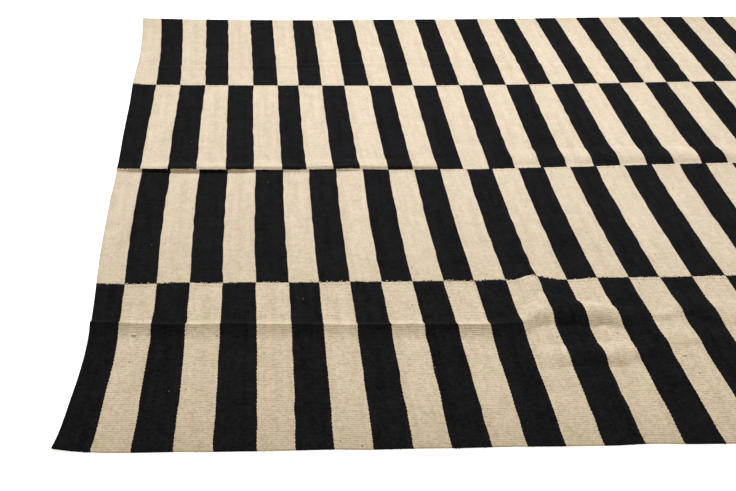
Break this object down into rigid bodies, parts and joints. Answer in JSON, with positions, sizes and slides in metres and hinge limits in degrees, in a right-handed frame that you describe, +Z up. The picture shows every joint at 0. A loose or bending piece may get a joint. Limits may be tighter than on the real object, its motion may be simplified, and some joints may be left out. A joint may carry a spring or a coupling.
{
  "type": "kilim rug",
  "caption": "Flat-woven wool floor rug of long panels sewn side by side, with bold stripes that step by one stripe from panel to panel.",
  "frame": {"origin": "on the floor, under the middle of the rug", "axes": "+X along the rug, parallel to the seams, +Y across it from the front panel to the back panel, +Z up out of the face"},
  "size_m": [3.0001, 2.0003, 0.0206],
  "materials": {
    "striped_wool": "matte, hand-woven, cream and black stripes",
    "seam_yarn": "matte spun wool"
  },
  "bodies": {
    "root": {"panel_1": "striped_wool", "panel_2": "striped_wool", "panel_3": "striped_wool", "panel_4": "striped_wool"}
  },
  "joints": []
}
